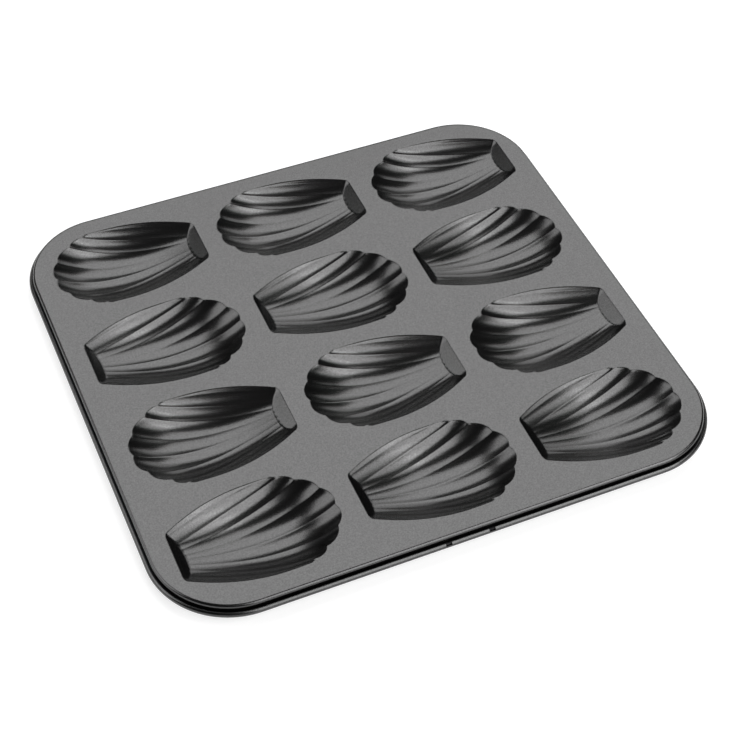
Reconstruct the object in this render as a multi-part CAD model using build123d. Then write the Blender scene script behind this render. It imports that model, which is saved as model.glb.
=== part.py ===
from build123d import *
import math
import os

# Madeleine pan: one pressed steel sheet with twelve fluted shell cups, and the two wires in its rolled rim.
# X runs along the long side and the cups, Y towards the back, Z up. The origin is under the middle of the
# pan, on the surface that the crowns of the cups stand on.

# Sheet and its flat top face, up to where the edge starts to turn down
SHEET = 0.8
FACE_LENGTH = 265.3
FACE_WIDTH = 247.4
FACE_CORNER = 35.5

# Grid of cups: rows run along X, and every second row is turned end for end
COLUMNS = 3
ROWS = 4
COLUMN_PITCH = 85.7
ROW_PITCH = 60.0

# One cup, from its flat narrow end to the fan edge
CUP_LENGTH = 74.7
CUP_HALF_WIDTH = 25.4
CUP_DEPTH = 11.3
ROOT_HALF_WIDTH = 13.1
ROOT_DEPTH = 6.4
ROOT_CORNER = 3.3
ROOT_LEAN = 36.5
SIDE_RISE = 3.0
MOUTH_MIDDLE_SHARE = 0.509

# Crests between the flutes, counted from the middle one to the side. Each crest starts at the foot of the
# narrow end wall and leaves the cup at a cusp of the mouth: shares of the cup's length, half-width and depth.
CREST_EXIT_SHARES = (1.0, 0.958, 0.843, 0.750, 0.663)
CREST_SPREAD_SHARES = (0.0, 0.433, 0.760, 0.929, 0.984)
CREST_ROOT_SHARES = (0.0, 0.244, 0.473, 0.687, 0.855)
CREST_BOW_SHARES = (0.0, 0.50, 0.47, 0.55, 0.90)
CREST_DEPTH_SHARES = (1.0, 0.965, 0.770, 0.478, 0.230)
CREST_FOOT_SHARES = (1.0, 0.984, 0.860, 0.625, 0.3125)
LOWEST_SHARE = 0.40

# Side walls, as shares of the cup's own sizes
SIDE_BOW_SHARE = 1.30
SIDE_DRAFT_SHARE = 0.35
SIDE_LIFT_SHARE = 4.0

# Flutes: how far each bulges beyond the chord between its crests, and the flats that make its curve
FLUTE_ROOT_SHARE = 0.13
FLUTE_FAN_SHARE = 0.13
SIDE_BULGE_SHARE = 0.10
FLUTE_FLATS = 3
SIDE_FLATS = 2
STATION_SHARES = (-0.04, 0.18, 0.44, 0.74, 1.04)

# Turned-down edge, and the roll at its foot that holds the wire, each bend with its number of flats
EDGE_RADIUS = 1.4
EDGE_DROP = 4.7
EDGE_FLATS = 3
FLARE_RADIUS = 0.4
FLARE_FLATS = 2
CURL_ANGLE = 300.0
CURL_FLATS = 10
WIRE_RADIUS = 0.8
WIRE_CLEARANCE = 0.1
WIRE_FLATS = 8
WIRE_GAP = 1.0

# Notches in the roll, a pair in the middle of the front and of the back side
NOTCH_SPACING = 21.0
NOTCH_WIDTH = 2.8
NOTCH_DEPTH = 1.4

# Overrun of the cutting forms, and their height above the mouth of a cup
CUT = 4.0
HEADROOM = 20.0


def crest(index, place):
    """Half-width and height of a crest where the section stands at this place along the mouth."""
    reach = CREST_EXIT_SHARES[index] * CUP_LENGTH
    along = place / reach
    bow = CREST_BOW_SHARES[index]
    if along < 1:
        plan = along + bow * along * (1 - along)
    else:
        plan = 1 + (1 - bow) * (along - 1)
    root = CREST_ROOT_SHARES[index] * ROOT_HALF_WIDTH
    spread = CREST_SPREAD_SHARES[index] * CUP_HALF_WIDTH - root
    lowest = CREST_DEPTH_SHARES[index] * CUP_DEPTH
    foot = CREST_FOOT_SHARES[index] * ROOT_DEPTH
    if along < LOWEST_SHARE:
        height = -lowest + (lowest - foot) * ((LOWEST_SHARE - along) / LOWEST_SHARE) ** 2
    else:
        height = -lowest * (1 - ((along - LOWEST_SHARE) / (1 - LOWEST_SHARE)) ** 2)
    return root + spread * plan, height


def side(place):
    """Half-width and height of the upper edge of a side wall, above the mouth, at this place."""
    along = place / (CREST_EXIT_SHARES[-1] * CUP_LENGTH)
    if along < 1:
        plan = along + SIDE_BOW_SHARE * along * (1 - along)
    else:
        plan = 1 + (1 - SIDE_BOW_SHARE) * (along - 1)
    height = SIDE_RISE * (1 + SIDE_LIFT_SHARE * (place / CUP_LENGTH) ** 2)
    half_width = ROOT_HALF_WIDTH + (CUP_HALF_WIDTH - ROOT_HALF_WIDTH) * plan
    return half_width + SIDE_DRAFT_SHARE * height, height


def flute_circle(start, end, sagitta):
    """Centre and radius of the arc that bulges outwards from start to end."""
    chord = end - start
    outward = Vector(chord.Y, -chord.X).normalized()
    radius = (chord.length**2 / 4 + sagitta**2) / (2 * sagitta)
    return (start + end) / 2 - outward * (radius - sagitta), radius


def meeting(first, second, near):
    """Where two flute circles cross, on the side of the point near."""
    (centre_a, radius_a), (centre_b, radius_b) = first, second
    line = centre_b - centre_a
    reach = (line.length**2 + radius_a**2 - radius_b**2) / (2 * line.length)
    across = Vector(-line.Y, line.X).normalized() * math.sqrt(radius_a**2 - reach**2)
    foot = centre_a + line.normalized() * reach
    return min((foot + across, foot - across), key=lambda point: (point - near).length)


def half_section(place, wall):
    """Crest points and circles of the five flutes on the right-hand half of one section, in its own plane."""
    stretch = 1 / math.cos(math.radians(ROOT_LEAN))
    raw = [crest(index, place) for index in range(len(CREST_EXIT_SHARES))] + [side(place)]
    ends = [Vector(across, height * stretch) for across, height in raw]
    bulge = FLUTE_ROOT_SHARE + (FLUTE_FAN_SHARE - FLUTE_ROOT_SHARE) * place / CUP_LENGTH
    bulges = [bulge] * (len(ends) - 2) + [SIDE_BULGE_SHARE]
    circles = []
    for start, end, share in zip(ends, ends[1:], bulges):
        centre, radius = flute_circle(start, end, share * (end - start).length)
        circles.append((centre, radius + wall))
    mirrored = (Vector(-circles[0][0].X, circles[0][0].Y), circles[0][1])
    pairs = zip([mirrored] + circles, circles)
    grown = [meeting(before, after, end) for (before, after), end in zip(pairs, ends)]
    last_centre, last_radius = circles[-1]
    grown.append(last_centre + (ends[-1] - last_centre).normalized() * last_radius)
    return grown, circles


def section(place, wall):
    """One closed section of a cup, in a plane that leans like the narrow end: ten flutes and a top line."""
    lean = math.radians(ROOT_LEAN)
    plane = Plane(origin=(place, 0, 0), x_dir=(0, 1, 0), z_dir=(math.cos(lean), 0, math.sin(lean)))
    ends, circles = half_section(place, wall)
    half = [ends[0]]
    flats = [FLUTE_FLATS] * (len(circles) - 1) + [SIDE_FLATS]
    for (centre, _), start, end, count in zip(circles, ends, ends[1:], flats):
        spoke = start - centre
        turn = (end - centre).get_signed_angle(spoke, Vector(0, 0, -1))
        half += [centre + spoke.rotate(Axis.Z, turn * step / count) for step in range(1, count + 1)]
    outline = [(-point.X, point.Y) for point in reversed(half)] + [(point.X, point.Y) for point in half[1:]]
    return plane * Wire.make_polygon(outline, close=True)


def narrow_end(wall):
    """Everything on the cup's side of its narrow end wall, whose two corners are rounded."""
    lean = math.radians(ROOT_LEAN)
    front = -wall / math.cos(lean)
    back = CUP_LENGTH + CUP_DEPTH + CUT
    slope = (CUP_HALF_WIDTH - ROOT_HALF_WIDTH) * (1 + SIDE_BOW_SHARE) / (CREST_EXIT_SHARES[-1] * CUP_LENGTH)
    near = ROOT_HALF_WIDTH + wall
    far = near + slope * (back - front)
    outline = make_face(Polyline((front, -near), (back, -far), (back, far), (front, near), close=True))
    corners = outline.vertices().sort_by(Axis.X)[:2]
    outline = fillet(corners, ROOT_CORNER + wall)
    downwards = Vector(math.tan(lean), 0, -1)
    height = HEADROOM + 2 * CUP_DEPTH
    raised = Pos(*(downwards * -HEADROOM)) * outline
    return extrude(raised, height * downwards.length, dir=downwards.normalized())


def cup_form(wall):
    """The hollow of a cup with its mouth at zero height, or with a wall the form of the cup's outside."""
    stations = [section(share * CUP_LENGTH, wall) for share in STATION_SHARES]
    return Solid.make_loft(stations, ruled=True) & narrow_end(wall)


def cup_places(height):
    """Where each cup lies, from the front row to the back: the first row has its narrow ends at the left."""
    middle = MOUTH_MIDDLE_SHARE * CUP_LENGTH
    places = []
    for row in range(ROWS):
        turn = 180 * (row % 2)
        for column in range(COLUMNS):
            x = (column - (COLUMNS - 1) / 2) * COLUMN_PITCH
            y = (row - (ROWS - 1) / 2) * ROW_PITCH
            places.append(Pos(x, y, height) * Rot(0, 0, turn) * Pos(-middle, 0, 0))
    return places


def roll_centre():
    """Distance outwards from the flat face, and height below it, of the middle of the roll."""
    return EDGE_RADIUS + FLARE_RADIUS, -EDGE_DROP


def bend(centre, radius, start, turn, flats):
    """Points along a bend of the sheet, from a start angle through a turn, with a number of flats."""
    angles = [math.radians(start + turn * step / flats) for step in range(flats + 1)]
    return [(centre[0] + radius * math.cos(angle), centre[1] + radius * math.sin(angle)) for angle in angles]


def edge_section():
    """The turned-down edge and its roll: X outwards from the flat face, Y up, both sides of the sheet."""
    out, low = roll_centre()
    inner = WIRE_RADIUS + WIRE_CLEARANCE
    outer = inner + SHEET
    flare = (out, low + outer + FLARE_RADIUS)
    shoulder = (0, -EDGE_RADIUS)
    outside = bend(shoulder, EDGE_RADIUS, 90, -90, EDGE_FLATS)
    outside += bend(flare, FLARE_RADIUS, 180, 90, FLARE_FLATS)
    outside += bend((out, low), outer, 90, -CURL_ANGLE, CURL_FLATS)[1:]
    inside = bend(shoulder, EDGE_RADIUS - SHEET, 90, -90, EDGE_FLATS)
    inside += bend(flare, FLARE_RADIUS + SHEET, 180, 90, FLARE_FLATS)
    inside += bend((out, low), inner, 90, -CURL_ANGLE, CURL_FLATS)[1:]
    return make_face(Polyline(*outside, *reversed(inside), close=True))


def around(profile, height):
    """A section carried all round the flat face: four straight sides and four quarter turns."""
    upright = Plane(origin=(0, 0, height), x_dir=(1, 0, 0), z_dir=(0, -1, 0))
    pieces = []
    for quarter in range(4):
        length, width = (FACE_LENGTH, FACE_WIDTH) if quarter % 2 == 0 else (FACE_WIDTH, FACE_LENGTH)
        straight = width - 2 * FACE_CORNER
        side_run = Pos(length / 2, straight / 2, 0) * extrude(upright * profile, straight)
        quarter_turn = revolve(Pos(FACE_CORNER, 0, 0) * upright * profile, Axis.Z, 90)
        corner = Pos(length / 2 - FACE_CORNER, straight / 2, 0) * quarter_turn
        pieces += [Rot(0, 0, 90 * quarter) * side_run, Rot(0, 0, 90 * quarter) * corner]
    return pieces


def notches(height):
    """The cutting forms of the notches, which open the roll down to its wire."""
    out, low = roll_centre()
    outer = WIRE_RADIUS + WIRE_CLEARANCE + SHEET
    width = out + outer + CUT - EDGE_RADIUS
    foot = height + low + outer - NOTCH_DEPTH
    middle = FACE_WIDTH / 2 + EDGE_RADIUS + width / 2
    tool = Box(NOTCH_WIDTH, width, EDGE_DROP, align=(Align.CENTER, Align.CENTER, Align.MIN))
    return [Pos(x, y, foot) * tool for x in (-NOTCH_SPACING / 2, NOTCH_SPACING / 2) for y in (-middle, middle)]


def pressed_sheet(outside, hollow, height):
    """The whole pressing: flat face, cups, turned-down edge, roll and notches."""
    face = extrude(RectangleRounded(FACE_LENGTH, FACE_WIDTH, FACE_CORNER), SHEET)
    plate = Pos(0, 0, height - SHEET) * face
    below = Box(2 * FACE_LENGTH, FACE_WIDTH, height + CUT, align=(Align.CENTER, Align.CENTER, Align.MAX))
    shell = outside & below
    body = plate
    for piece in around(edge_section(), height):
        body = body.fuse(piece)
    places = cup_places(height)
    body = body.fuse(*[place * shell for place in places])
    return body.cut(*[place * hollow for place in places], *notches(height))


def rim_wires(height):
    """The two halves of the wire, left and right, with a small gap where their ends face each other."""
    out, low = roll_centre()
    ring = around(Pos(out, low, 0) * RegularPolygon(WIRE_RADIUS, WIRE_FLATS), height)
    reach = FACE_LENGTH + 2 * EDGE_DROP
    half = Box(reach, reach, reach, align=(Align.MIN, Align.CENTER, Align.CENTER))
    wires = []
    for turn, run in ((180, ring[2:7]), (0, ring[-2:] + ring[:3])):
        wires.append(run[0].fuse(*run[1:]) & (Pos(0, 0, height) * Rot(0, 0, turn) * Pos(WIRE_GAP / 2, 0, 0) * half))
    return wires


def main():
    """Builds each piece and writes it as a part of its own."""
    os.makedirs("parts", exist_ok=True)
    hollow = cup_form(0)
    outside = cup_form(SHEET)
    height = -outside.bounding_box().min.Z
    left, right = rim_wires(height)
    pieces = {"pressed_sheet": pressed_sheet(outside, hollow, height), "rim_wire_left": left, "rim_wire_right": right}
    for name, piece in pieces.items():
        print(name, "volume", round(piece.volume, 1), "solids", len(piece.solids()), "valid", piece.is_valid)
        export_step(piece, f"parts/{name}.step")


main()
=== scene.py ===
import logging
import math
from dataclasses import dataclass, field
from enum import Enum

import bmesh
import bpy
from mathutils import Matrix, Vector


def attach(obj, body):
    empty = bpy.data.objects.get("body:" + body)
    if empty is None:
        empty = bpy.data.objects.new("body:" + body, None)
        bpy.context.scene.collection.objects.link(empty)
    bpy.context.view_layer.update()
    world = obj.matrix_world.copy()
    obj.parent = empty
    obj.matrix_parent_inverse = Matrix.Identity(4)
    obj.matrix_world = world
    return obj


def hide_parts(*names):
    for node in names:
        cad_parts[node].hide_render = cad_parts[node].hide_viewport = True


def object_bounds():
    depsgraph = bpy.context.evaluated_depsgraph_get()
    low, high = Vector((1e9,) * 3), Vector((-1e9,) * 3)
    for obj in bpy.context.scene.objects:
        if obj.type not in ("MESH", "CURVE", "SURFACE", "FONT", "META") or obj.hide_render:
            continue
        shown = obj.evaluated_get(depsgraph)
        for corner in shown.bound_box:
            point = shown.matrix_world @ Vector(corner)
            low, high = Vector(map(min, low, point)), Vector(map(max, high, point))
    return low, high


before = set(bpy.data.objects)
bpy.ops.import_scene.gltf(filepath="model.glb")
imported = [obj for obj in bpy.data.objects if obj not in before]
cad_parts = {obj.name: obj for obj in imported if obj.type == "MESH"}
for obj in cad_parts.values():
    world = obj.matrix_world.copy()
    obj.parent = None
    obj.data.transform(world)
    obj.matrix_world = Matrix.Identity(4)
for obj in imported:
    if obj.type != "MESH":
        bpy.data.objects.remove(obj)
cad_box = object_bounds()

MM = 0.001
FULL_TURN = 360.0
HALF_TURN = 180.0
QUARTER_TURN = 90.0
MATRIX_SIZE = 4
UPWARD = (0, 0, 1)
BACK_AND_FRONT = (1, -1)
WHITE = (1.0, 1.0, 1.0, 1.0)
LOG = logging.getLogger("madeleine_pan")

# Short names of types
Point2 = tuple[float, float]
Colour = tuple[float, float, float, float]
Mesh = bmesh.types.BMesh
Vert = bmesh.types.BMVert
Edge = bmesh.types.BMEdge
Face = bmesh.types.BMFace


class WireHalf(Enum):
    """Which half of the pan a rim wire stiffens, with the turn that carries the right half there."""

    RIGHT = 0.0
    LEFT = math.pi


def turned(axis: str, angle: float) -> Matrix:
    """A turn about an axis of the scene.

    Args:
        axis: The axis, by its letter.
        angle: The angle in radians.

    Returns:
        The turn as a matrix.
    """
    return Matrix.Rotation(angle, MATRIX_SIZE, axis)


def loft(mesh: Mesh, rows: list[list[Vector]]) -> list[list[Vert]]:
    """Extrudes a first row of points through the other rows.

    Args:
        mesh: The mesh that takes the surface.
        rows: Rows of points, all of one length.

    Returns:
        The vertices, row by row.
    """
    line = [mesh.verts.new(point) for point in rows[0]]
    edges = [mesh.edges.new(pair) for pair in zip(line, line[1:])]
    grid = [line]
    for row in rows[1:]:
        made = bmesh.ops.extrude_edge_only(mesh, edges=edges)["geom"]
        new = {item for item in made if isinstance(item, Vert)}
        rungs = [next(edge for edge in vert.link_edges if edge.other_vert(vert) in new) for vert in line]
        line = [rung.other_vert(vert) for rung, vert in zip(rungs, line)]
        edges = [mesh.edges.get(pair) for pair in zip(line, line[1:])]
        for vert, point in zip(line, row):
            vert.co = point
        grid.append(line)
    return grid


def boundary(mesh: Mesh) -> list[Edge]:
    """Finds the open edges of a mesh.

    Args:
        mesh: The mesh.

    Returns:
        Every edge with a single face.
    """
    return [edge for edge in mesh.edges if edge.is_boundary]


def arc(centre: Point2, radius: float, start: float, turn: float, steps: int) -> list[Point2]:
    """Points along a bend.

    Args:
        centre: Middle of the bend.
        radius: Its radius.
        start: Angle of its first point, in degrees.
        turn: How far it turns, in degrees.
        steps: How many chords draw it.

    Returns:
        The points, the first and the last included.
    """
    x, y = centre
    angles = [math.radians(start + turn * step / steps) for step in range(steps + 1)]
    return [(x + radius * math.cos(angle), y + radius * math.sin(angle)) for angle in angles]


@dataclass(frozen=True)
class ShellCup:
    """One fluted shell cup. Its x runs from the narrow edge of the mouth to the fan.

    The mouth is at z = 0, and the cup is the same on both sides of y = 0. The place of a section is the x
    where it crosses the mouth. From there it runs down toward the fan, because it leans like the end wall.
    """

    # The mouth and the end wall
    length: float = 74.7 * MM
    half_width: float = 25.4 * MM
    depth: float = 11.3 * MM
    mouth_middle_share: float = 0.509
    root_half_width: float = 13.1 * MM
    root_depth: float = 5.0 * MM
    root_corner: float = 4.8 * MM
    root_lean: float = math.radians(47.0)
    section_lean: float = math.radians(36.5)
    lean_reach: float = 30.0 * MM

    # How the crests run from the end wall to the mouth, with one value a crest from the middle outwards
    exit_shares: tuple[float, ...] = (1.0, 0.958, 0.843, 0.750, 0.663)
    spread_shares: tuple[float, ...] = (0.0, 0.433, 0.760, 0.929, 0.984)
    root_shares: tuple[float, ...] = (0.0, 0.23, 0.45, 0.66, 0.94)
    bow_shares: tuple[float, ...] = (0.0, 0.50, 0.47, 0.55, 0.90)
    depth_shares: tuple[float, ...] = (1.0, 0.965, 0.770, 0.478, 0.120)
    foot_shares: tuple[float, ...] = (1.0, 0.984, 0.92, 0.78, 0.12)
    lowest_share: float = 0.40

    # The side walls, which run on above the mouth until they are rounded into the face
    side_rise: float = 3.0 * MM
    side_bow_share: float = 1.30
    side_draft_share: float = 0.35
    side_lift_share: float = 4.0
    side_bulge_share: float = 0.10

    # The bulge of the flutes, as a share of the chord between their crests
    flute_root_share: float = 0.085
    flute_fan_share: float = 0.13

    # How the surface is drawn
    overrun_share: float = 1.11
    flute_steps: int = 8
    stations: int = 22
    halvings: int = 22
    foot_ring_share: float = 0.008
    wall_row_shares: tuple[float, ...] = (1.0, 0.5, 0.07)

    # The rounding of crests and mouth
    crest_bevel_percent: float = 30.0
    crest_bevel_segments: int = 2
    crest_bevel_profile: float = 0.5
    draw_radius: float = 1.1 * MM
    softest: float = 1.1 * MM
    sharpest: float = 0.25 * MM
    steepest: float = math.radians(80.0)
    level_shares: tuple[float, ...] = (-1.0, -0.5, -0.25, 0.0, 0.25, 0.5, 1.0, 2.0)
    snap: float = 0.03 * MM

    # Close vertices lie 0.010 mm or at least 0.026 mm apart, so this joins the same ones in each run
    weld: float = 0.02 * MM

    def crest(self, index: int, place: float) -> Point2:
        """Follows a crest.

        Args:
            index: The crest, counted from the middle.
            place: Where the section stands.

        Returns:
            The crest's distance from the middle plane and its height.
        """
        along = place / (self.exit_shares[index] * self.length)
        bow = self.bow_shares[index]
        plan = along + bow * along * (1 - along) if along < 1 else 1 + (1 - bow) * (along - 1)
        root = self.root_shares[index] * self.root_half_width
        spread = self.spread_shares[index] * self.half_width - root
        lowest = self.depth_shares[index] * self.depth
        foot = self.foot_shares[index] * self.root_depth
        if along < self.lowest_share:
            return root + spread * plan, (lowest - foot) * (1 - along / self.lowest_share) ** 2 - lowest
        rise = ((along - self.lowest_share) / (1 - self.lowest_share)) ** 2
        return root + spread * plan, -lowest * (1 - rise)

    def side(self, place: float) -> Point2:
        """Follows the upper edge of a side wall, above the mouth.

        Args:
            place: Where the section stands.

        Returns:
            The edge's distance from the middle plane and its height.
        """
        along = place / (self.exit_shares[-1] * self.length)
        bow = self.side_bow_share
        plan = along + bow * along * (1 - along) if along < 1 else 1 + (1 - bow) * (along - 1)
        height = self.side_rise * (1 + self.side_lift_share * (place / self.length) ** 2)
        across = self.root_half_width + (self.half_width - self.root_half_width) * plan
        return across + self.side_draft_share * height, height

    def lean(self, place: float) -> float:
        """Tells how far a section leans: like the end wall at the root, and less from there on.

        Args:
            place: Where the section stands.

        Returns:
            The angle from upright, in radians.
        """
        blend = max(0.0, 1 - place / self.lean_reach)
        return self.section_lean + (self.root_lean - self.section_lean) * blend

    def on_flute(self, index: int, share: float, place: float) -> Vector:
        """Finds a point on a flute of the right-hand half.

        Args:
            index: The flute, counted from the middle.
            share: How far across it, from its inner crest to its outer one.
            place: Where the section stands.

        Returns:
            The point in the cup's frame.
        """
        last = len(self.exit_shares) - 1
        inner = self.crest(index, place)
        outer = self.side(place) if index == last else self.crest(index + 1, place)
        lean = self.lean(place)
        stretch = 1 / math.cos(lean)
        start, end = (Vector((across, height * stretch)) for across, height in (inner, outer))
        fanning = (self.flute_fan_share - self.flute_root_share) * place / self.length
        bulge = self.side_bulge_share if index == last else self.flute_root_share + fanning
        chord = end - start
        sagitta = bulge * chord.length
        radius = (chord.length ** 2 / 4 + sagitta ** 2) / (2 * sagitta)
        spread = math.asin(min(1.0, chord.length / (2 * radius))) * (2 * share - 1)
        outward = Vector((chord.y, -chord.x)).normalized()
        point = (start + end) / 2 + chord.normalized() * (radius * math.sin(spread))
        point += outward * (radius * math.cos(spread) - radius + sagitta)
        return Vector((place - point.y * math.sin(lean), point.x, point.y * math.cos(lean)))

    def foot_place(self, index: int, share: float) -> float:
        """Finds where a line of a flute starts, on the end wall or in its rounded corner.

        Args:
            index: The flute, counted from the middle.
            share: How far across it the line runs.

        Returns:
            The place of the line's first section.
        """
        reach = self.exit_shares[-1] * self.length
        widening = math.atan((self.half_width - self.root_half_width) * (1 + self.side_bow_share) / reach)
        tangent = self.root_corner / math.tan((math.pi / 2 + widening) / 2)
        begin = self.root_half_width - tangent
        low, high = 0.0, tangent * math.cos(widening)
        for _ in range(self.halvings):
            middle = (low + high) / 2
            across = min(self.on_flute(index, share, middle).y - begin, self.root_corner)
            outline = self.root_corner - math.sqrt(self.root_corner ** 2 - max(across, 0) ** 2)
            low, high = (middle, high) if middle < outline else (low, middle)
        return (low + high) / 2

    def lines(self) -> list[tuple[int, int, float]]:
        """Lists the long lines of the cup from its left side to its right.

        Returns:
            For each line the sign of its side, its flute and its share across the flute.
        """
        count = len(self.exit_shares)
        shares = [step / self.flute_steps for step in range(self.flute_steps)]
        half = [(index, share) for index in range(count) for share in shares]
        half.append((count - 1, 1.0))
        return [(-1, *line) for line in reversed(half)] + [(1, *line) for line in half[1:]]

    def rows(self) -> list[list[Vector]]:
        """Lays rows of points from the top of the narrow wall, down to its foot and along the flutes.

        Returns:
            The rows, with a point a line.
        """
        lines = self.lines()
        feet = [self.foot_place(index, share) for _, index, share in lines]
        reach = self.overrun_share * self.length
        shares = [0.0, self.foot_ring_share]
        shares += [step / self.stations for step in range(1, self.stations + 1)]
        along = []
        for share in shares:
            row = [self.on_flute(index, across, foot + (reach - foot) * share)
                   for (_, index, across), foot in zip(lines, feet)]
            along.append([Vector((point.x, sign * point.y, point.z))
                          for (sign, _, _), point in zip(lines, row)])
        top = along[0][0].z
        climb = Vector((-math.tan(self.root_lean), 0, 1))
        wall = [[point + climb * (share * (top - point.z)) for point in along[0]]
                for share in self.wall_row_shares]
        return wall + along

    def soften(self, vert: Vert) -> None:
        """Rounds the wall into the flat face: what stands above the mouth is laid down on the face.

        Args:
            vert: A vertex of the cup, which is moved.
        """
        lean = math.acos(min(1.0, abs(vert.normal.z)))
        reach = self.draw_radius * math.tan(min(lean, self.steepest)) * math.tan(lean / 2)
        reach = min(self.softest, max(self.sharpest, reach))
        height = vert.co.z
        blend = max(reach - abs(height), 0) ** 2 / (4 * reach)
        vert.co.z = min(height, 0.0) - blend

    def surface(self) -> bpy.types.Mesh:
        """Draws the inside of the cup, out to a ring that lies flat in the face around the mouth.

        Returns:
            The surface as mesh data, facing up.
        """
        mesh = bmesh.new()
        grid = loft(mesh, self.rows())
        foot = len(self.wall_row_shares)
        crests = range(self.flute_steps, len(grid[0]) - 1, self.flute_steps)
        ridges = [mesh.edges.get((below[column], above[column]))
                  for below, above in zip(grid[foot:], grid[foot + 1:]) for column in crests]
        bmesh.ops.bevel(mesh, geom=ridges, offset=self.crest_bevel_percent, offset_type="PERCENT",
                        segments=self.crest_bevel_segments, profile=self.crest_bevel_profile,
                        affect="EDGES", clamp_overlap=False)
        for level in self.level_shares:
            everything = mesh.verts[:] + mesh.edges[:] + mesh.faces[:]
            bmesh.ops.bisect_plane(mesh, geom=everything, dist=self.snap, plane_no=UPWARD,
                                   plane_co=(0, 0, level * self.softest),
                                   clear_outer=level == self.level_shares[-1])
        bmesh.ops.recalc_face_normals(mesh, faces=mesh.faces)
        mesh.normal_update()
        if sum(face.normal.z for face in mesh.faces) < 0:
            bmesh.ops.reverse_faces(mesh, faces=mesh.faces)
        for vert in mesh.verts:
            self.soften(vert)
        bmesh.ops.remove_doubles(mesh, verts=mesh.verts, dist=self.weld)
        data = bpy.data.meshes.new("shell_cup")
        mesh.to_mesh(data)
        mesh.free()
        return data


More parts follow.
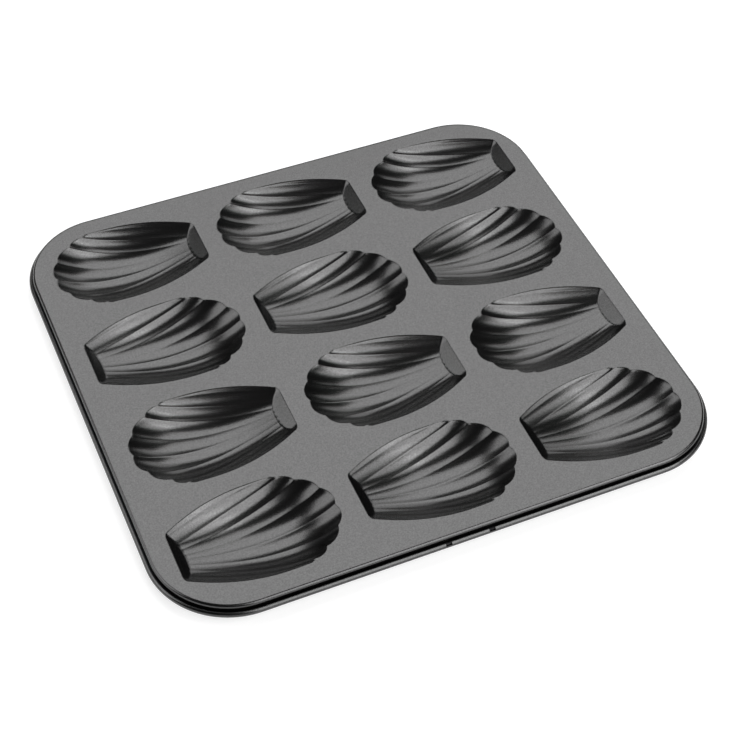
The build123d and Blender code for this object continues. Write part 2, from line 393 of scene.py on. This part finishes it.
@dataclass(frozen=True)
class RolledEdge:
    """The turned-down edge of the pan and the roll at its foot, with its four notches.

    The sheet bends down at the rim of the flat face, runs behind the wire and is rolled outwards and up
    around it. A narrow gap is left between its free edge and the wall. Turns are in degrees.
    """

    # The flat face and the sheet
    sheet: float = 0.8 * MM
    length: float = 265.3 * MM
    width: float = 247.4 * MM
    corner: float = 35.5 * MM
    top: float = cad_box[1].z

    # The bend and the roll
    radius: float = 1.4 * MM
    drop: float = 4.7 * MM
    roll_offset: float = 0.4 * MM
    curl_turn: float = 252.0
    wire_radius: float = 0.8 * MM
    wire_clearance: float = 0.1 * MM
    wire_gap: float = 1.0 * MM

    # The notches
    notch_spacing: float = 21.0 * MM
    notch_width: float = 3.0 * MM
    notch_turn: float = 55.0
    notch_slack: float = 0.02

    # How the edge is drawn
    flat_ring: float = 1.0 * MM
    hold: float = 0.04 * MM
    bend_steps: int = 8
    curl_steps: int = 28
    corner_steps: int = 24
    weld: float = 0.002 * MM

    def roll_centre(self) -> Point2:
        """Finds the middle of the roll.

        Returns:
            Its distance outwards from the flat face and its height from there, which is below zero.
        """
        return self.radius + self.roll_offset, -self.drop

    def section(self) -> list[Point2]:
        """Draws the sheet's two sides in one chain: down the wall, round the wire, and back.

        Returns:
            The chain's points, each with its distance outwards and its height.
        """
        inner = self.wire_radius + self.wire_clearance
        shoulder = (0.0, -self.radius)
        outside = arc(shoulder, self.radius, QUARTER_TURN, -QUARTER_TURN, self.bend_steps)
        outside.append((self.radius, -self.radius - self.hold))
        outside += arc(self.roll_centre(), inner, HALF_TURN, self.curl_turn, self.curl_steps)
        inside = arc(shoulder, self.radius - self.sheet, QUARTER_TURN, -QUARTER_TURN, self.bend_steps)
        inside += arc(self.roll_centre(), inner + self.sheet, HALF_TURN, self.curl_turn, self.curl_steps)
        flat = [(-self.flat_ring, 0.0)]
        return flat + outside + inside[::-1] + [(-self.flat_ring, -self.sheet)]

    def run(self, mesh: Mesh, edges: list[Edge], step: Vector) -> list[Edge]:
        """Extrudes edges along a straight step.

        Args:
            mesh: The mesh that they belong to.
            edges: The edges.
            step: How far they go.

        Returns:
            The edges at the end of the step.
        """
        made = bmesh.ops.extrude_edge_only(mesh, edges=edges)["geom"]
        moved = [item for item in made if isinstance(item, Vert)]
        bmesh.ops.translate(mesh, verts=moved, vec=step)
        ends = set(moved)
        return [item for item in made if isinstance(item, Edge) and set(item.verts) <= ends]

    def turn(self, mesh: Mesh, edges: list[Edge], centre: Vector) -> list[Edge]:
        """Spins edges through a quarter turn about a corner's centre.

        Args:
            mesh: The mesh that they belong to.
            edges: The edges.
            centre: The corner's centre.

        Returns:
            The edges at the end of the turn.
        """
        verts = list({vert for edge in edges for vert in edge.verts})
        spun = bmesh.ops.spin(mesh, geom=verts + edges, cent=centre, axis=UPWARD, angle=math.pi / 2,
                              steps=self.corner_steps, use_merge=False)
        return [item for item in spun["geom_last"] if isinstance(item, Edge)]

    def ring(self) -> Mesh:
        """Carries the section all round the face, with seams at the sides of the notches.

        Returns:
            The closed ring, without its notches.
        """
        mesh = bmesh.new()
        half_x, half_y = self.length / 2 - self.corner, self.width / 2 - self.corner
        chain = [mesh.verts.new((self.length / 2 + x, -half_y, self.top + z)) for x, z in self.section()]
        edges = [mesh.edges.new(pair) for pair in zip(chain, chain[1:])]
        near = self.notch_spacing / 2 - self.notch_width / 2
        far = near + self.notch_width
        stops = [half_x, far, near, -near, -far, -half_x]
        for side in BACK_AND_FRONT:
            edges = self.run(mesh, edges, Vector((0, side * 2 * half_y, 0)))
            edges = self.turn(mesh, edges, Vector((side * half_x, side * half_y, 0)))
            for begin, end in zip(stops, stops[1:]):
                edges = self.run(mesh, edges, Vector((side * (end - begin), 0, 0)))
            edges = self.turn(mesh, edges, Vector((-side * half_x, side * half_y, 0)))
        bmesh.ops.remove_doubles(mesh, verts=mesh.verts, dist=self.weld)
        return mesh

    def notch(self, mesh: Mesh, middle: float, side: int) -> None:
        """Cuts the free edge of the roll back, so that its wire shows.

        Args:
            mesh: The ring.
            middle: Where the notch lies along the side.
            side: 1 for the back side, -1 for the front.
        """
        out, low = self.roll_centre()
        free_edge = math.radians(self.curl_turn + HALF_TURN - FULL_TURN)

        def from_wire(place: Vector) -> Vector:
            """Looks at a place along the wire.

            Args:
                place: The place.

            Returns:
                How far it lies outwards and upwards from the wire's middle.
            """
            return Vector((side * place.y - self.width / 2 - out, place.z - self.top - low))

        def in_notch(face: Face) -> bool:
            """Tells whether a face belongs to the part that is cut out.

            Args:
                face: A face of the ring.

            Returns:
                Whether it does.
            """
            centre = face.calc_center_median()
            arm = from_wire(centre)
            turn = free_edge - math.atan2(arm.y, arm.x)
            beside = abs(centre.x - middle) < self.notch_width / 2 and side * centre.y > 0
            return beside and -math.radians(self.notch_slack) < turn < math.radians(self.notch_turn)

        def on_one_side(edge: Edge) -> bool:
            """Tells whether an edge stays on one side of the sheet.

            Args:
                edge: An edge around the cut.

            Returns:
                Whether it does, and doesn't cross the sheet's thickness.
            """
            near, far = (from_wire(vert.co).length for vert in edge.verts)
            return abs(near - far) < self.sheet / 2

        cut = [face for face in mesh.faces if in_notch(face)]
        rims = {edge for face in cut for edge in face.edges}
        bmesh.ops.delete(mesh, geom=cut, context="FACES")
        rims = [edge for edge in rims if edge.is_valid and edge.is_boundary]
        bmesh.ops.bridge_loops(mesh, edges=[edge for edge in rims if on_one_side(edge)])
        for edge in rims:
            edge.smooth = False

    def mesh(self) -> Mesh:
        """Draws the whole edge with its notches.

        Returns:
            The edge, open only along the two sides of the flat face.
        """
        mesh = self.ring()
        for side in reversed(BACK_AND_FRONT):
            for middle in (-self.notch_spacing / 2, self.notch_spacing / 2):
                self.notch(mesh, middle, side)
        return mesh


@dataclass(frozen=True)
class Finish:
    """A metallic grey finish with a fine grain."""

    slot: str
    name: str
    dark: Colour
    light: Colour
    roughness_low: float
    roughness_high: float
    grain_scale: float
    bump_height: float
    metallic: float = 1.0

    def material(self, grain: bpy.types.ShaderNodeTree) -> bpy.types.Material:
        """Builds the finish's material.

        Args:
            grain: The shared grain group.

        Returns:
            The new material.
        """
        material = bpy.data.materials.new(self.name)
        material.use_nodes = True
        nodes, links = material.node_tree.nodes, material.node_tree.links
        shader = nodes["Principled BSDF"]
        shader.inputs["Metallic"].default_value = self.metallic
        group = nodes.new("ShaderNodeGroup")
        group.node_tree = grain
        group.inputs["Scale"].default_value = self.grain_scale
        group.inputs["Dark"].default_value = self.dark
        group.inputs["Light"].default_value = self.light
        group.inputs["Smooth"].default_value = self.roughness_low
        group.inputs["Rough"].default_value = self.roughness_high
        bump = nodes.new("ShaderNodeBump")
        bump.inputs["Distance"].default_value = self.bump_height
        links.new(group.outputs["Color"], shader.inputs["Base Color"])
        links.new(group.outputs["Roughness"], shader.inputs["Roughness"])
        links.new(group.outputs["Height"], bump.inputs["Height"])
        links.new(bump.outputs["Normal"], shader.inputs["Normal"])
        return material


COATED_STEEL = Finish(
    slot="coated_steel",
    name="satin_coating",
    dark=(0.056, 0.056, 0.056, 1.0),
    light=(0.080, 0.080, 0.080, 1.0),
    roughness_low=0.22,
    roughness_high=0.25,
    grain_scale=1500.0,
    bump_height=0.02 * MM,
)
DRAWN_WIRE = Finish(
    slot="rim_wire",
    name="drawn_wire",
    dark=(0.018, 0.018, 0.019, 1.0),
    light=(0.032, 0.032, 0.033, 1.0),
    roughness_low=0.5,
    roughness_high=0.62,
    grain_scale=900.0,
    bump_height=0.01 * MM,
)


@dataclass(frozen=True)
class Grain:
    """The fine grain that the finishes share: a speckle of two greys, and soft patches a little rougher."""

    speckle_detail: float = 3.0
    speckle_roughness: float = 0.65
    speckle_span: Point2 = (0.33, 0.67)
    patch_scale: float = 28.0
    patch_detail: float = 4.0
    patch_span: Point2 = (0.3, 0.7)

    def group(self) -> bpy.types.ShaderNodeTree:
        """Builds the node group.

        Returns:
            The group, with Color, Roughness and Height outputs.
        """
        group = bpy.data.node_groups.new("fine_grain", "ShaderNodeTree")
        sockets = [("Scale", "INPUT", "NodeSocketFloat"), ("Smooth", "INPUT", "NodeSocketFloat"),
                   ("Rough", "INPUT", "NodeSocketFloat"), ("Dark", "INPUT", "NodeSocketColor"),
                   ("Light", "INPUT", "NodeSocketColor"), ("Color", "OUTPUT", "NodeSocketColor"),
                   ("Roughness", "OUTPUT", "NodeSocketFloat"), ("Height", "OUTPUT", "NodeSocketFloat")]
        for name, side, kind in sockets:
            group.interface.new_socket(name, in_out=side, socket_type=kind)
        nodes, links = group.nodes, group.links
        inputs, outputs = nodes.new("NodeGroupInput"), nodes.new("NodeGroupOutput")
        place = nodes.new("ShaderNodeTexCoord")
        speckle = nodes.new("ShaderNodeTexNoise")
        speckle.inputs["Detail"].default_value = self.speckle_detail
        speckle.inputs["Roughness"].default_value = self.speckle_roughness
        patches = nodes.new("ShaderNodeTexNoise")
        patches.inputs["Scale"].default_value = self.patch_scale
        patches.inputs["Detail"].default_value = self.patch_detail
        spread = nodes.new("ShaderNodeMapRange")
        spread.inputs["From Min"].default_value, spread.inputs["From Max"].default_value = self.speckle_span
        rougher = nodes.new("ShaderNodeMapRange")
        rougher.inputs["From Min"].default_value, rougher.inputs["From Max"].default_value = self.patch_span
        colours = nodes.new("ShaderNodeMix")
        colours.data_type = "RGBA"
        links.new(place.outputs["Object"], speckle.inputs["Vector"])
        links.new(place.outputs["Object"], patches.inputs["Vector"])
        links.new(inputs.outputs["Scale"], speckle.inputs["Scale"])
        links.new(speckle.outputs["Fac"], spread.inputs["Value"])
        links.new(spread.outputs["Result"], colours.inputs["Factor"])
        links.new(inputs.outputs["Dark"], colours.inputs["A"])
        links.new(inputs.outputs["Light"], colours.inputs["B"])
        links.new(patches.outputs["Fac"], rougher.inputs["Value"])
        links.new(inputs.outputs["Smooth"], rougher.inputs["To Min"])
        links.new(inputs.outputs["Rough"], rougher.inputs["To Max"])
        links.new(colours.outputs["Result"], outputs.inputs["Color"])
        links.new(rougher.outputs["Result"], outputs.inputs["Roughness"])
        links.new(speckle.outputs["Fac"], outputs.inputs["Height"])
        return group


def add_piece(name: str, mesh: Mesh, node: str,
              material: bpy.types.Material) -> bpy.types.Object:
    """Makes a piece of a mesh, dresses it and puts it in the place of its CAD node.

    Args:
        name: The piece's name.
        mesh: Its shape, which is freed.
        node: The CAD node that it stands for.
        material: The finish's material.

    Returns:
        The new object.
    """
    for face in mesh.faces:
        face.smooth = True
    data = bpy.data.meshes.new(name)
    mesh.to_mesh(data)
    mesh.free()
    data.materials.append(material)
    piece = bpy.data.objects.new(name, data)
    bpy.context.scene.collection.objects.link(piece)
    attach(piece, "root")
    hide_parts(node)
    LOG.info("%s: %d faces", name, len(data.polygons))
    return piece


@dataclass(frozen=True)
class PressedSheet:
    """The pressing: flat face, twelve cups, turned-down edge and roll."""

    columns: int = 3
    rows: int = 4
    column_pitch: float = 85.7 * MM
    row_pitch: float = 60.0 * MM
    cup: ShellCup = field(default_factory=ShellCup)
    edge: RolledEdge = field(default_factory=RolledEdge)
    finish: Finish = COATED_STEEL

    def place(self, row: int, column: int) -> Matrix:
        """Finds where a cup lies: every second row is turned end for end.

        Args:
            row: The cup's row, counted from the front.
            column: Its column, counted from the left.

        Returns:
            The matrix that carries a cup there.
        """
        x = (column - (self.columns - 1) / 2) * self.column_pitch
        y = (row - (self.rows - 1) / 2) * self.row_pitch
        middle = self.cup.mouth_middle_share * self.cup.length
        turn = turned("Z", math.pi * (row % 2))
        return Matrix.Translation((x, y, self.edge.top)) @ turn @ Matrix.Translation((-middle, 0, 0))

    def cups(self) -> bpy.types.Mesh:
        """Sets all the cups in their places in the upper side of the sheet.

        Returns:
            The cups as mesh data, with a flat ring around each.
        """
        mesh = bmesh.new()
        cup = self.cup.surface()
        for row in range(self.rows):
            for column in range(self.columns):
                count = len(mesh.verts)
                mesh.from_mesh(cup)
                mesh.verts.ensure_lookup_table()
                bmesh.ops.transform(mesh, matrix=self.place(row, column), verts=mesh.verts[count:])
        bpy.data.meshes.remove(cup)
        for vert in mesh.verts:
            if vert.is_boundary:
                vert.co.z = self.edge.top
        data = bpy.data.meshes.new("cups")
        mesh.to_mesh(data)
        mesh.free()
        return data

    def top_faces(self, mesh: Mesh) -> list[Face]:
        """Adds the cups and the flat face between them to the edge.

        Args:
            mesh: The edge, which takes the upper side.

        Returns:
            The faces of the upper side.
        """
        old = set(mesh.verts)
        cups = self.cups()
        mesh.from_mesh(cups)
        bpy.data.meshes.remove(cups)
        faces = [face for face in mesh.faces if face.verts[0] not in old]
        mouths = [edge for edge in boundary(mesh) if edge.verts[0] not in old]
        rims = [edge for edge in boundary(mesh) if edge.verts[0] in old
                and all(vert.co.z > self.edge.top - self.edge.weld for vert in edge.verts)]
        filled = bmesh.ops.triangle_fill(mesh, use_beauty=True, edges=mouths + rims, normal=UPWARD)["geom"]
        return faces + [item for item in filled if isinstance(item, Face)]

    def mesh(self) -> Mesh:
        """Draws the closed sheet. Its underside is the upper side moved down by the sheet's thickness.

        Returns:
            The sheet, with its lowest crowns on the ground.
        """
        mesh = self.edge.mesh()
        under = bmesh.ops.duplicate(mesh, geom=self.top_faces(mesh))["geom"]
        lower = [item for item in under if isinstance(item, Vert)]
        bmesh.ops.translate(mesh, verts=lower, vec=(0, 0, -self.edge.sheet))
        level = self.edge.top - self.edge.sheet
        stretch = level / (level - min(vert.co.z for vert in lower))
        bmesh.ops.scale(mesh, verts=lower, vec=(1, 1, stretch), space=Matrix.Translation((0, 0, -level)))
        bmesh.ops.reverse_faces(mesh, faces=[item for item in under if isinstance(item, Face)])
        bmesh.ops.remove_doubles(mesh, verts=mesh.verts, dist=self.edge.weld)
        bmesh.ops.recalc_face_normals(mesh, faces=mesh.faces)
        return mesh

    def build(self, grain: bpy.types.ShaderNodeTree) -> bpy.types.Object:
        """Makes the sheet in its finish.

        Args:
            grain: The shared grain group.

        Returns:
            The sheet.
        """
        mesh = self.mesh()
        LOG.info("open edges: %d", len(boundary(mesh)))
        return add_piece("fluted_sheet", mesh, "pressed_sheet", self.finish.material(grain))


@dataclass(frozen=True)
class RimWire:
    """One half of the wire in the roll."""

    half: WireHalf
    edge: RolledEdge = field(default_factory=RolledEdge)
    finish: Finish = DRAWN_WIRE
    sides: int = 20

    def mesh(self) -> Mesh:
        """Draws a round wire along the front, one side and the back.

        Returns:
            The wire, closed at its ends.
        """
        mesh = bmesh.new()
        edge = self.edge
        out, low = edge.roll_centre()
        half_x, half_y = edge.length / 2 - edge.corner, edge.width / 2 - edge.corner
        place = Matrix.Translation((edge.wire_gap / 2, -edge.width / 2 - out, edge.top + low))
        upright = turned("Y", math.pi / 2)
        bmesh.ops.create_circle(mesh, segments=self.sides, radius=edge.wire_radius, matrix=place @ upright)
        edges = edge.run(mesh, mesh.edges[:], Vector((half_x - edge.wire_gap / 2, 0, 0)))
        edges = edge.turn(mesh, edges, Vector((half_x, -half_y, 0)))
        edges = edge.run(mesh, edges, Vector((0, 2 * half_y, 0)))
        edges = edge.turn(mesh, edges, Vector((half_x, half_y, 0)))
        edge.run(mesh, edges, Vector((edge.wire_gap / 2 - half_x, 0, 0)))
        bmesh.ops.remove_doubles(mesh, verts=mesh.verts, dist=edge.weld)
        ends = boundary(mesh)
        bmesh.ops.holes_fill(mesh, edges=ends, sides=self.sides)
        for rim in ends:
            rim.smooth = False
        turn = turned("Z", self.half.value).to_3x3()
        bmesh.ops.rotate(mesh, verts=mesh.verts, cent=(0, 0, 0), matrix=turn)
        bmesh.ops.recalc_face_normals(mesh, faces=mesh.faces)
        return mesh

    def build(self, grain: bpy.types.ShaderNodeTree) -> bpy.types.Object:
        """Makes the wire in its finish.

        Args:
            grain: The shared grain group.

        Returns:
            The wire.
        """
        name = f"stiffening_wire_{self.half.name.lower()}"
        node = f"rim_wire_{self.half.name.lower()}"
        return add_piece(name, self.mesh(), node, self.finish.material(grain))


@dataclass(frozen=True)
class Softbox:
    """A soft light that faces the pan. Azimuth 0 is behind the pan and 90 to its right, in degrees."""

    name: str
    azimuth: float
    elevation: float
    width: float
    height: float
    radiance: float
    distance: float = 2.5

    def build(self) -> bpy.types.Object:
        """Hangs the softbox in its place, with the power that gives its radiance.

        Returns:
            The light.
        """
        lamp = bpy.data.lights.new(self.name, "AREA")
        lamp.shape = "RECTANGLE"
        lamp.size, lamp.size_y = self.width, self.height
        lamp.energy = self.radiance * math.pi * self.width * self.height
        light = bpy.data.objects.new(self.name, lamp)
        around = turned("Z", -math.radians(self.azimuth))
        up = turned("X", math.radians(QUARTER_TURN + self.elevation))
        away = Matrix.Translation((0, 0, -self.distance))
        light.matrix_world = around @ up @ away @ turned("Y", math.pi)
        bpy.context.scene.collection.objects.link(light)
        return light


SOFTBOXES = (
    Softbox("back_softbox", azimuth=20, elevation=57, width=2.7, height=2.2, radiance=3.1),
    Softbox("fill_softbox", azimuth=44, elevation=23, width=1.4, height=0.8, radiance=1.6),
    Softbox("right_softbox", azimuth=157, elevation=33, width=1.8, height=2.8, radiance=3.9),
    Softbox("side_softbox", azimuth=125, elevation=42, width=1.1, height=1.4, radiance=2.9),
    Softbox("left_softbox", azimuth=-70, elevation=30, width=2.0, height=2.0, radiance=2.5),
)


@dataclass(frozen=True)
class Studio:
    """Floor, lights, world and camera."""

    # The floor, with a glow that only cameras, mirrors and glass see
    floor_radius: float = 14.0
    floor_sides: int = 64
    floor_gap: float = 0.1 * MM
    floor_colour: Colour = (0.50, 0.50, 0.50, 1.0)
    floor_roughness: float = 0.9
    floor_specular: float = 0.0
    floor_glow: float = 0.64
    glow_colour: Colour = WHITE

    # The lights
    softboxes: tuple[Softbox, ...] = SOFTBOXES
    world_colour: Colour = WHITE
    world_strength: float = 0.04

    # The camera, from a fit of the mouths in the photograph
    camera_place: tuple[float, float, float] = (-223.94 * MM, -508.34 * MM, 613.07 * MM)
    camera_azimuth: float = math.radians(24.353)
    camera_elevation: float = math.radians(48.385)
    camera_roll: float = math.radians(1.490)
    camera_lens: float = 83.25

    def floor_material(self) -> bpy.types.Material:
        """Builds the pale floor's material, which a camera sees as white.

        Returns:
            The new material.
        """
        material = bpy.data.materials.new("pale_floor")
        material.use_nodes = True
        nodes, links = material.node_tree.nodes, material.node_tree.links
        shader = nodes["Principled BSDF"]
        shader.inputs["Base Color"].default_value = self.floor_colour
        shader.inputs["Roughness"].default_value = self.floor_roughness
        shader.inputs["Specular IOR Level"].default_value = self.floor_specular
        shader.inputs["Emission Color"].default_value = self.glow_colour
        rays = nodes.new("ShaderNodeLightPath")
        glossy = nodes.new("ShaderNodeMath")
        glossy.operation = "MAXIMUM"
        clear = nodes.new("ShaderNodeMath")
        clear.operation = "MAXIMUM"
        glow = nodes.new("ShaderNodeMath")
        glow.operation = "MULTIPLY"
        glow.inputs[1].default_value = self.floor_glow
        links.new(rays.outputs["Is Camera Ray"], glossy.inputs[0])
        links.new(rays.outputs["Is Glossy Ray"], glossy.inputs[1])
        links.new(glossy.outputs["Value"], clear.inputs[0])
        links.new(rays.outputs["Is Transmission Ray"], clear.inputs[1])
        links.new(clear.outputs["Value"], glow.inputs[0])
        links.new(glow.outputs["Value"], shader.inputs["Emission Strength"])
        return material

    def floor(self) -> bpy.types.Object:
        """Lays the floor, which keeps the pan's shadow.

        Returns:
            The floor.
        """
        mesh = bmesh.new()
        place = Matrix.Translation((0, 0, -self.floor_gap))
        bmesh.ops.create_circle(mesh, cap_ends=True, segments=self.floor_sides, radius=self.floor_radius,
                                matrix=place)
        data = bpy.data.meshes.new("floor")
        mesh.to_mesh(data)
        mesh.free()
        data.materials.append(self.floor_material())
        floor = bpy.data.objects.new("floor", data)
        bpy.context.scene.collection.objects.link(floor)
        return floor

    def world(self) -> bpy.types.World:
        """Makes a plain surrounding at a low level.

        Returns:
            The world.
        """
        world = bpy.data.worlds.new("studio")
        world.use_nodes = True
        background = world.node_tree.nodes["Background"]
        background.inputs["Color"].default_value = self.world_colour
        background.inputs["Strength"].default_value = self.world_strength
        bpy.context.scene.world = world
        return world

    def camera(self) -> bpy.types.Object:
        """Sets up the camera at the photograph's place.

        Returns:
            The camera.
        """
        lens = bpy.data.cameras.new("camera")
        lens.lens = self.camera_lens
        camera = bpy.data.objects.new("camera", lens)
        heading = turned("Z", -self.camera_azimuth)
        tilt = turned("X", math.pi / 2 - self.camera_elevation)
        roll = turned("Z", self.camera_roll)
        camera.matrix_world = Matrix.Translation(self.camera_place) @ heading @ tilt @ roll
        bpy.context.scene.collection.objects.link(camera)
        bpy.context.scene.camera = camera
        return camera

    def build(self) -> None:
        """Sets up the whole studio."""
        self.floor()
        for softbox in self.softboxes:
            softbox.build()
        self.world()
        self.camera()
        bpy.context.scene.view_settings.view_transform = "Standard"
        LOG.info("studio: %d softboxes", len(self.softboxes))


def main() -> None:
    """Builds the pan and its studio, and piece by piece."""
    logging.basicConfig(level=logging.INFO)
    grain = Grain().group()
    PressedSheet().build(grain)
    for half in WireHalf:
        RimWire(half).build(grain)
    Studio().build()


if __name__ == "__main__":
    main()
